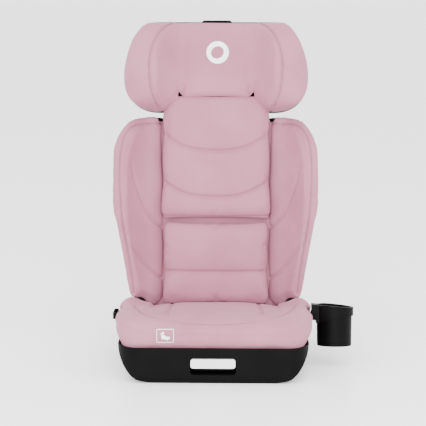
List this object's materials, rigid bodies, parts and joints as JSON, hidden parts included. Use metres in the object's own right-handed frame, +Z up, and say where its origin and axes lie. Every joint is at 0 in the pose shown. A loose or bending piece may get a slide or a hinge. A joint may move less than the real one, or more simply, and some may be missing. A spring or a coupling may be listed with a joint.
{
  "type": "booster seat",
  "caption": "Highback child booster seat with reclining backrest, sliding headrest, rear anchor connectors, front pull handle and side cup holder.",
  "frame": {"origin": "middle of the flat underside of the base, where the seat rests", "axes": "+Z up, -Y towards the front of the seat, +X towards the side with the cup holder"},
  "size_m": [0.5355, 0.4744, 0.7407],
  "materials": {
    "fabric_main": "pink knitted polyester cover",
    "fabric_pad": "pink padded inlay fabric",
    "shell_plastic": "black moulded polypropylene, fine grain",
    "inner_plastic": "black glass-filled nylon",
    "handle_plastic": "light grey moulded handle",
    "button_plastic": "red release button",
    "foam": "expanded foam core",
    "steel": "zinc-plated steel",
    "dark_steel": "black coated steel",
    "patch": "white sewn patch"
  },
  "bodies": {
    "base": {"base_shell": "shell_plastic", "bottom_cover": "shell_plastic", "base_screws": "dark_steel", "seat_pan": "inner_plastic", "seat_foam": "foam", "seat_cover": "fabric_main", "label_patch": "patch", "lap_belt_guide_left": "shell_plastic", "lap_belt_guide_right": "shell_plastic", "cup_socket_left": "shell_plastic", "cup_socket_right": "shell_plastic", "hinge_bracket_left": "dark_steel", "hinge_bracket_right": "dark_steel", "hinge_pins": "steel", "connector_housing_left": "inner_plastic", "connector_housing_right": "inner_plastic", "handle_bezel": "inner_plastic", "handle_spring": "steel", "pawl_guide": "inner_plastic"},
    "backrest": {"back_shell": "shell_plastic", "back_foam": "foam", "back_liner": "fabric_main", "lumbar_pad": "fabric_pad", "wing_pad_left": "fabric_main", "wing_pad_right": "fabric_main", "guide_rail_left": "inner_plastic", "guide_rail_right": "inner_plastic", "rack_plate": "steel", "back_screws": "dark_steel"},
    "headrest": {"headrest_shell": "shell_plastic", "headrest_foam": "foam", "headrest_center_pad": "fabric_pad", "headrest_wing_left": "fabric_main", "headrest_wing_right": "fabric_main", "headrest_stem": "inner_plastic", "upper_back_pad": "fabric_pad", "belt_guide_left": "shell_plastic", "belt_guide_right": "shell_plastic", "badge_patch": "patch", "headrest_screws": "dark_steel", "adjuster_spring": "steel"},
    "adjuster": {"adjuster_handle": "shell_plastic"},
    "latch": {"latch_pin": "steel"},
    "carriage": {"carriage_crossbar": "steel", "connector_arm_left": "dark_steel", "connector_arm_right": "dark_steel", "jaw_pins": "steel"},
    "jaw_left": {"jaw_left": "steel"},
    "jaw_right": {"jaw_right": "steel"},
    "button_left": {"release_button_left": "button_plastic"},
    "button_right": {"release_button_right": "button_plastic"},
    "handle": {"pull_handle": "handle_plastic", "handle_rod": "steel"},
    "pawl": {"lock_pawl": "steel"},
    "cup_holder": {"cup_bracket": "shell_plastic", "cup": "shell_plastic"}
  },
  "joints": [
    {"name": "recline", "type": "hinge", "parent": "base", "child": "backrest", "pos_m": [0, 0.15, 0.08], "axis": [-1, 0, 0], "range_deg": [0, 18]},
    {"name": "headrest_height", "type": "slide", "parent": "backrest", "child": "headrest", "axis": [0, 0.1736, 0.9848], "range_m": [0, 0.105]},
    {"name": "adjuster_pull", "type": "slide", "parent": "headrest", "child": "adjuster", "axis": [0, 0.1736, 0.9848], "range_m": [0, 0.008], "stiffness_N_per_m": 1200, "springref_m": -0.002},
    {"name": "latch_retract", "type": "slide", "parent": "headrest", "child": "latch", "axis": [0, -0.9848, 0.1736], "range_m": [0, 0.004]},
    {"name": "connector_slide", "type": "slide", "parent": "base", "child": "carriage", "axis": [0, 1, 0], "range_m": [0, 0.1]},
    {"name": "jaw_left_open", "type": "hinge", "parent": "carriage", "child": "jaw_left", "pos_m": [-0.14, 0.206, 0.033], "axis": [1, 0, 0], "range_deg": [0, 25], "stiffness_Nm_per_rad": 0.25, "springref_deg": -17.19},
    {"name": "jaw_right_open", "type": "hinge", "parent": "carriage", "child": "jaw_right", "pos_m": [0.14, 0.206, 0.033], "axis": [1, 0, 0], "range_deg": [0, 25], "stiffness_Nm_per_rad": 0.25, "springref_deg": -17.19},
    {"name": "button_left_press", "type": "slide", "parent": "carriage", "child": "button_left", "axis": [0, 0, -1], "range_m": [0, 0.003]},
    {"name": "button_right_press", "type": "slide", "parent": "carriage", "child": "button_right", "axis": [0, 0, -1], "range_m": [0, 0.003]},
    {"name": "handle_pull", "type": "slide", "parent": "base", "child": "handle", "axis": [0, -1, 0], "range_m": [0, 0.014], "stiffness_N_per_m": 900, "springref_m": -0.003},
    {"name": "pawl_lift", "type": "slide", "parent": "base", "child": "pawl", "axis": [0, 0, 1], "range_m": [0, 0.005]},
    {"name": "cup_holder_lift", "type": "slide", "parent": "base", "child": "cup_holder", "axis": [0, 0, 1], "range_m": [0, 0.035]}
  ],
  "couplings": [
    {"joint": "latch_retract", "follows": "adjuster_pull", "ratio": 0.499},
    {"joint": "jaw_left_open", "follows": "button_left_press", "rad_per_m": 145.3},
    {"joint": "jaw_right_open", "follows": "button_right_press", "rad_per_m": 145.3},
    {"joint": "pawl_lift", "follows": "handle_pull", "ratio": 0.357}
  ]
}
